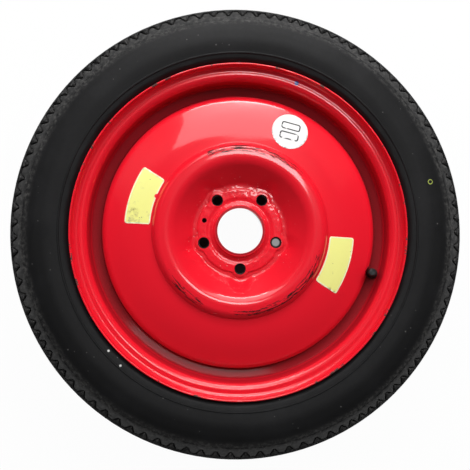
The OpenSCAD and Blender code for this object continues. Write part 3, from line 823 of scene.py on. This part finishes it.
def threaded_stem():
    """The valve's stem, with its thread pressed in as one helix."""
    foot, tip, chamber = -8.4, 33.4, 24.4
    threaded = [(STEM_R, 23.0 + 0.1 * k) for k in range(1, 100)]
    side = [(STEM_R, foot + 0.3), (STEM_R, 23.0), *threaded, (STEM_R, 32.95), (3.4, tip)]
    hollow = [(2.6, tip), (2.6, chamber), (2.1, chamber - 0.8), (2.1, foot)]
    stem = spun("threaded_stem", [(3.6, foot)] + side + hollow, 64)
    p = points_of(stem) / MM
    r = np.hypot(p[:, 0], p[:, 1])
    turns = np.arctan2(p[:, 1], p[:, 0]) / math.tau
    wave = np.abs(((p[:, 2] / THREAD_PITCH - turns) % 1) * 2 - 1)
    run_in, run_out = np.clip((p[:, 2] - 23.2) / 0.8, 0, 1), np.clip((33.2 - p[:, 2]) / 0.6, 0, 1)
    cut = THREAD_DEPTH * run_in * run_out * np.clip(wave * 1.3 - 0.15, 0, 1)
    outer = r > 3.0
    p[outer, :2] *= (1 - cut / np.maximum(r, 1))[outer, None]
    put_points(stem, p * MM)
    stem.data.transform(VALVE_FOOT)
    return smooth(stem, 30)


class WHEEL_OT_valve(bpy.types.Operator):
    """Thread the valve's stem and dress the valve, its core and its cap"""

    bl_idname = "wheel.valve"
    bl_label = "Valve"

    def execute(self, context):
        finishes = {
            "valve_body": "Valve Rubber", "core_barrel": "Valve Brass", "core_gasket": "Gasket Plastic",
            "core_pin": "Valve Brass", "core_cup": "Valve Brass", "core_seal": "Valve Rubber",
            "valve_cap": "Cap Plastic", "cap_seal": "Valve Rubber",
        }
        for name, finish in finishes.items():
            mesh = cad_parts[name].data
            mesh.materials.clear()
            mesh.materials.append(bpy.data.materials[finish])
        finish_piece(threaded_stem(), "root", bpy.data.materials["Valve Brass"], "brass", "valve_stem")
        spring = copied("core_spring", "spring_coil", 40)
        finish_piece(spring, "root", bpy.data.materials["Spring Wire"], "spring_steel", "core_spring")
        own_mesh(spring)
        return {"FINISHED"}


class WHEEL_OT_labels(bpy.types.Operator):
    """Lay the two yellow labels and the round one on the dish"""

    bl_idname = "wheel.labels"
    bl_label = "Labels"

    def execute(self, context):
        labels = (
            ("label_left", "Left Label Film", "yellow_label"),
            ("label_right", "Right Label Film", "yellow_label"),
            ("round_label", "Round Label Paper", "white_label"),
        )
        for name, finish, slot in labels:
            finish_piece(copied(name, name + "_film", 30), "root", bpy.data.materials[finish], slot, name)
        return {"FINISHED"}


class WHEEL_OT_finishes(bpy.types.Operator):
    """Build the shared patterns and every finish"""

    bl_idname = "wheel.finishes"
    bl_label = "Finishes"

    def execute(self, context):
        make_groups()
        wheel_paint()
        tyre_rubber()
        soft_rubber()
        cap_plastic()
        white_plastic()
        turned_metal("Valve Brass", (0.8, 0.58, 0.26), (0.42, 0.28, 0.12), 0.28)
        turned_metal("Spring Wire", (0.62, 0.62, 0.64), (0.4, 0.4, 0.41), 0.25)
        label_film("Left Label Film", 161.0, 0.38)
        label_film("Right Label Film", -19.0, 0.12)
        round_paper()
        return {"FINISHED"}


LAMP_DISTANCE = 1.7
CAMERA_PLACE, CAMERA_TURN = (-0.03421, -0.02639, 0.64541), (0.033947, -0.044209, -0.006769)


class WHEEL_OT_studio(bpy.types.Operator):
    """Set the floor, the lamps, the surroundings and the camera"""

    bl_idname = "wheel.studio"
    bl_label = "Studio"

    def execute(self, context):
        studio = context.scene.wheel_studio
        bpy.ops.mesh.primitive_plane_add(size=8, location=(0, 0, TYRE_LOW.z - 0.0002))
        floor = bpy.context.object
        floor.name = "studio_floor"
        material, tree = new_finish("Studio Floor")
        seen = node(tree, "ShaderNodeLightPath").outputs
        # White where the camera, a reflection or clear matter looks at it, but painted shadow in a ring under the
        # wheel, with a faint painted pool of light in it
        direct = highest(tree, seen["Is Camera Ray"], seen["Is Glossy Ray"], seen["Is Transmission Ray"])
        radius = use(tree, "Wheel Place")["Radius"]
        shaded = product(tree, step_up(tree, radius, 44.0, 46.0), inverse(tree, step_up(tree, radius, 180.0, 220.0)))
        # Painted light: a faint grey glow spot in the painted shadow, seen through one bolt hole.
        lit_spot = use(tree, "Spot", Centre=GREY_FLOOR_SPOT, Radius=5.4, Softness=2.2)["Mask"]
        direct = product(tree, direct, calc(tree, "MAXIMUM", inverse(tree, shaded), product(tree, lit_spot, 0.3)))
        grain = noise(tree, object_place(tree), 40.0)
        pale = blend(tree, grain, (0.8, 0.8, 0.8), (0.78, 0.78, 0.78))
        plain = node(tree, "ShaderNodeBsdfDiffuse", {"Color": blend(tree, product(tree, shaded, 0.9), pale, (0, 0, 0))})
        glow = node(tree, "ShaderNodeEmission", {"Color": (1, 1, 1, 1), "Strength": 1.0})
        share = product(tree, direct, 0.97)
        mixed = node(tree, "ShaderNodeMixShader", {0: share, 1: plain.outputs[0], 2: glow.outputs[0]})
        below = node(tree, "ShaderNodeNewGeometry").outputs["Backfacing"]
        clear = node(tree, "ShaderNodeBsdfTransparent")
        mixed = node(tree, "ShaderNodeMixShader", {0: below, 1: mixed.outputs[0], 2: clear.outputs[0]})
        node(tree, "ShaderNodeOutputMaterial", {"Surface": mixed.outputs[0]})
        floor.data.materials.append(material)

        world = bpy.data.worlds.new("Studio Light")
        context.scene.world = world
        world.use_nodes = True
        tree = world.node_tree
        tree.nodes.clear()
        seen = node(tree, "ShaderNodeLightPath").outputs
        direct = calc(tree, "MAXIMUM", seen["Is Camera Ray"], seen["Is Transmission Ray"])
        veil = inverse(tree, product(tree, seen["Is Glossy Ray"], 0.8))
        strength = total(tree, product(tree, direct, 1.0 - studio.ambient), product(tree, veil, studio.ambient))
        sky = node(tree, "ShaderNodeBackground", {"Color": (1, 1, 1, 1), "Strength": strength})
        node(tree, "ShaderNodeOutputWorld", {"Surface": sky.outputs[0]})

        # Name, turn and rise in degrees, size in metres, power, seen in reflections, lights surfaces
        lamps = (
            ("key_lamp", 88, 46, (1.25, 0.85), studio.key_power, True, True),
            ("strip_lamp", 88, 29, (1.1, 0.17), studio.strip_power, True, True),
            ("side_lamp", 40, 40, (0.7, 0.6), studio.side_power, False, True),
            ("left_lamp", 142, 42, (0.7, 0.6), studio.fill_power, False, True),
            ("crown_lamp", 64, 72, (0.5, 0.36), studio.crown_power, True, False),
        )
        for name, turn, rise, size, power, mirrored, lights in lamps:
            lamp = bpy.data.lights.new(name, "AREA")
            lamp.shape, lamp.size, lamp.size_y, lamp.energy = "RECTANGLE", *size, power
            holder = bpy.data.objects.new(name, lamp)
            context.scene.collection.objects.link(holder)
            aim = Matrix.Rotation(math.radians(turn), 3, "Z") @ Matrix.Rotation(math.radians(-rise), 3, "Y")
            place = aim @ Vector((LAMP_DISTANCE, 0, 0))
            holder.location = place
            holder.rotation_euler = (-place).to_track_quat("-Z", "Y").to_euler()
            holder.visible_glossy, holder.visible_diffuse = mirrored, lights

        camera = bpy.data.objects.new("Camera", bpy.data.cameras.new("Camera"))
        context.scene.collection.objects.link(camera)
        camera.data.lens, camera.data.sensor_width = studio.lens, 36
        camera.location = CAMERA_PLACE
        camera.rotation_euler = Euler(CAMERA_TURN, "XYZ")
        context.scene.camera = camera
        context.scene.view_settings.view_transform = "Standard"
        return {"FINISHED"}


class WHEEL_PT_panel(bpy.types.Panel):
    """Pieces and looks of the spare wheel"""

    bl_idname = "WHEEL_PT_panel"
    bl_label = "Spare Wheel"
    bl_space_type = "VIEW_3D"
    bl_region_type = "UI"
    bl_category = "Spare Wheel"

    def draw(self, context):
        for group in (context.scene.wheel_sizes, context.scene.wheel_paint, context.scene.wheel_studio):
            box = self.layout.box()
            for name in group.bl_rna.properties.keys():
                if name not in ("rna_type", "name"):
                    box.prop(group, name)
        for operator in PIECES:
            self.layout.operator(operator.bl_idname)


PIECES = (
    WHEEL_OT_finishes, WHEEL_OT_rim, WHEEL_OT_disc, WHEEL_OT_welds,
    WHEEL_OT_tyre, WHEEL_OT_valve, WHEEL_OT_labels, WHEEL_OT_studio,
)
CLASSES = (WheelSizes, WheelPaint, WheelStudio, *PIECES, WHEEL_PT_panel)


def register():
    for cls in CLASSES:
        bpy.utils.register_class(cls)
    bpy.types.Scene.wheel_sizes = PointerProperty(type=WheelSizes)
    bpy.types.Scene.wheel_paint = PointerProperty(type=WheelPaint)
    bpy.types.Scene.wheel_studio = PointerProperty(type=WheelStudio)


def unregister():
    del bpy.types.Scene.wheel_studio
    del bpy.types.Scene.wheel_paint
    del bpy.types.Scene.wheel_sizes
    for cls in reversed(CLASSES):
        bpy.utils.unregister_class(cls)


def main():
    register()
    for name in ("finishes", "rim", "disc", "welds", "tyre", "valve", "labels", "studio"):
        getattr(bpy.ops.wheel, name)()


if __name__ == "__main__":
    main()
